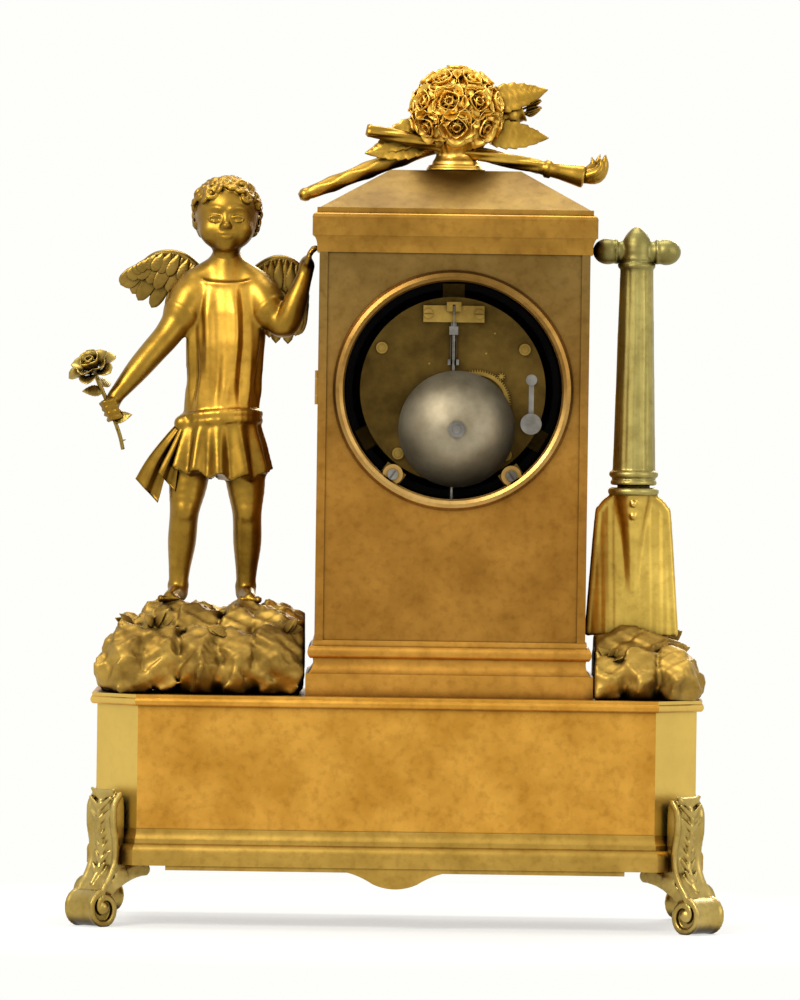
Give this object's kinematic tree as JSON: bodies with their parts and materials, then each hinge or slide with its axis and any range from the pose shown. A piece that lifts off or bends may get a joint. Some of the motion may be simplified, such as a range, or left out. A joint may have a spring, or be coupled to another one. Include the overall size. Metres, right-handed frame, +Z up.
{
  "type": "pendulette clock",
  "caption": "Gilt-bronze mantel clock: pedestal case with round open back, bell and pendulum movement, winged child figure, spade and flower trophy on a footed plinth.",
  "frame": {"origin": "centre of the overall box, in the plane that the four feet rest on", "axes": "+Z up, +X from the figure towards the spade, -Y out of the open movement side, +Y out of the dial"},
  "size_m": [0.236, 0.109, 0.3107],
  "materials": {
    "ormolu": "fire-gilt bronze, burnished to satin",
    "ormolu_figure": "fire-gilt bronze, matt with burnished highlights",
    "rock": "bronze, matt and darkened",
    "movement_brass": "brass, grained and dulled",
    "steel": "polished steel",
    "blued_steel": "heat-blued steel",
    "bell_metal": "silvered bell metal",
    "enamel": "white vitreous enamel",
    "clear_glass": "clear flat glass"
  },
  "bodies": {
    "case": {"base_walls": "ormolu", "base_top": "ormolu", "base_skirt": "ormolu", "feet": "ormolu", "case_plinth": "ormolu", "case_body": "ormolu", "cornice": "ormolu", "roof": "ormolu", "rear_ring": "ormolu", "dial_surround": "ormolu", "spade_blade": "ormolu", "spade_shaft": "ormolu", "spade_handle": "ormolu", "putto": "ormolu_figure", "right_arm": "ormolu_figure", "left_arm": "ormolu_figure", "wings": "ormolu_figure", "rose": "ormolu_figure", "bouquet": "ormolu_figure", "quiver": "ormolu_figure", "torch": "ormolu_figure", "leaves": "ormolu_figure", "left_mound": "rock", "right_mound": "rock", "back_plate": "movement_brass", "front_plate": "movement_brass", "pillars": "movement_brass", "suspension_cock": "movement_brass", "straps": "movement_brass", "fixings": "steel", "strap_screws": "steel", "bell_stand": "steel", "bell": "bell_metal", "dial": "enamel"},
    "bezel": {"bezel_door": "ormolu", "bezel_glass": "clear_glass"},
    "pendulum": {"pendulum_rod": "steel", "pendulum_bob": "movement_brass", "suspension_spring": "steel"},
    "anchor": {"anchor": "steel"},
    "escape_wheel": {"escape_wheel": "movement_brass"},
    "third_wheel": {"third_wheel": "movement_brass"},
    "centre_wheel": {"centre_wheel": "movement_brass"},
    "going_barrel": {"going_barrel": "movement_brass", "going_spring": "steel"},
    "going_arbor": {"going_arbor": "steel"},
    "strike_barrel": {"strike_barrel": "movement_brass", "strike_spring": "steel"},
    "strike_arbor": {"strike_arbor": "steel"},
    "pin_wheel": {"pin_wheel": "movement_brass"},
    "warning_wheel": {"warning_wheel": "movement_brass"},
    "fly": {"fly": "movement_brass"},
    "count_wheel": {"count_wheel": "movement_brass"},
    "hammer": {"hammer": "steel"},
    "minute": {"cannon_pinion": "movement_brass", "minute_hand": "blued_steel"},
    "minute_wheel": {"minute_wheel": "movement_brass"},
    "hour": {"hour_wheel": "movement_brass", "hour_hand": "blued_steel"}
  },
  "joints": [
    {"name": "bezel_hinge", "type": "hinge", "parent": "case", "child": "bezel", "pos_m": [-0.0297, 0.0362, 0.193], "axis": [0, 0, 1], "range_deg": [0, 110]},
    {"name": "pendulum_swing", "type": "hinge", "parent": "case", "child": "pendulum", "pos_m": [0.0185, -0.0132, 0.2204], "axis": [0, -1, 0], "range_deg": [-4, 4]},
    {"name": "anchor_swing", "type": "hinge", "parent": "case", "child": "anchor", "pos_m": [0.0185, 0, 0.2204], "axis": [0, -1, 0], "range_deg": [-4, 4]},
    {"name": "third_spin", "type": "hinge", "parent": "case", "child": "third_wheel", "pos_m": [0.00988, 0, 0.20238], "axis": [0, -1, 0], "continuous": true},
    {"name": "escape_spin", "type": "hinge", "parent": "case", "child": "escape_wheel", "pos_m": [0.0185, 0, 0.21048], "axis": [0, -1, 0], "continuous": true},
    {"name": "centre_spin", "type": "hinge", "parent": "case", "child": "centre_wheel", "pos_m": [0.0185, 0, 0.193], "axis": [0, -1, 0], "continuous": true},
    {"name": "going_barrel_spin", "type": "hinge", "parent": "case", "child": "going_barrel", "pos_m": [0.0063, 0, 0.1845], "axis": [0, -1, 0], "continuous": true},
    {"name": "going_winding", "type": "hinge", "parent": "case", "child": "going_arbor", "pos_m": [0.0063, 0, 0.1845], "axis": [0, -1, 0], "continuous": true},
    {"name": "warning_spin", "type": "hinge", "parent": "case", "child": "warning_wheel", "pos_m": [0.03035, 0, 0.20631], "axis": [0, -1, 0], "continuous": true},
    {"name": "fly_spin", "type": "hinge", "parent": "case", "child": "fly", "pos_m": [0.03343, 0, 0.21356], "axis": [0, -1, 0], "continuous": true},
    {"name": "pin_spin", "type": "hinge", "parent": "case", "child": "pin_wheel", "pos_m": [0.03591, 0, 0.19807], "axis": [0, -1, 0], "continuous": true},
    {"name": "count_spin", "type": "hinge", "parent": "case", "child": "count_wheel", "pos_m": [0.02725, 0, 0.18811], "axis": [0, -1, 0], "continuous": true},
    {"name": "strike_barrel_spin", "type": "hinge", "parent": "case", "child": "strike_barrel", "pos_m": [0.0307, 0, 0.1845], "axis": [0, -1, 0], "continuous": true},
    {"name": "strike_winding", "type": "hinge", "parent": "case", "child": "strike_arbor", "pos_m": [0.0307, 0, 0.1845], "axis": [0, -1, 0], "continuous": true},
    {"name": "hammer_swing", "type": "hinge", "parent": "case", "child": "hammer", "pos_m": [0.0467, 0, 0.197], "axis": [0, -1, 0], "range_deg": [-6, 12]},
    {"name": "minute_turn", "type": "hinge", "parent": "case", "child": "minute", "pos_m": [0.0185, 0, 0.193], "axis": [0, -1, 0], "continuous": true},
    {"name": "minute_wheel_turn", "type": "hinge", "parent": "case", "child": "minute_wheel", "pos_m": [0.0185, 0, 0.2026], "axis": [0, -1, 0], "continuous": true},
    {"name": "hour_turn", "type": "hinge", "parent": "case", "child": "hour", "pos_m": [0.0185, 0, 0.193], "axis": [0, -1, 0], "continuous": true}
  ],
  "couplings": [
    {"joint": "anchor_swing", "follows": "pendulum_swing", "ratio": 1},
    {"joint": "escape_spin", "follows": "third_spin", "ratio": -12},
    {"joint": "centre_spin", "follows": "third_spin", "ratio": -0.083333},
    {"joint": "going_barrel_spin", "follows": "third_spin", "ratio": 0.010417},
    {"joint": "fly_spin", "follows": "warning_spin", "ratio": -8},
    {"joint": "pin_spin", "follows": "warning_spin", "ratio": -0.10938},
    {"joint": "strike_barrel_spin", "follows": "warning_spin", "ratio": 0.010938},
    {"joint": "count_spin", "follows": "warning_spin", "ratio": 0.010938},
    {"joint": "minute_wheel_turn", "follows": "minute_turn", "ratio": -0.33333},
    {"joint": "hour_turn", "follows": "minute_turn", "ratio": 0.083333}
  ]
}
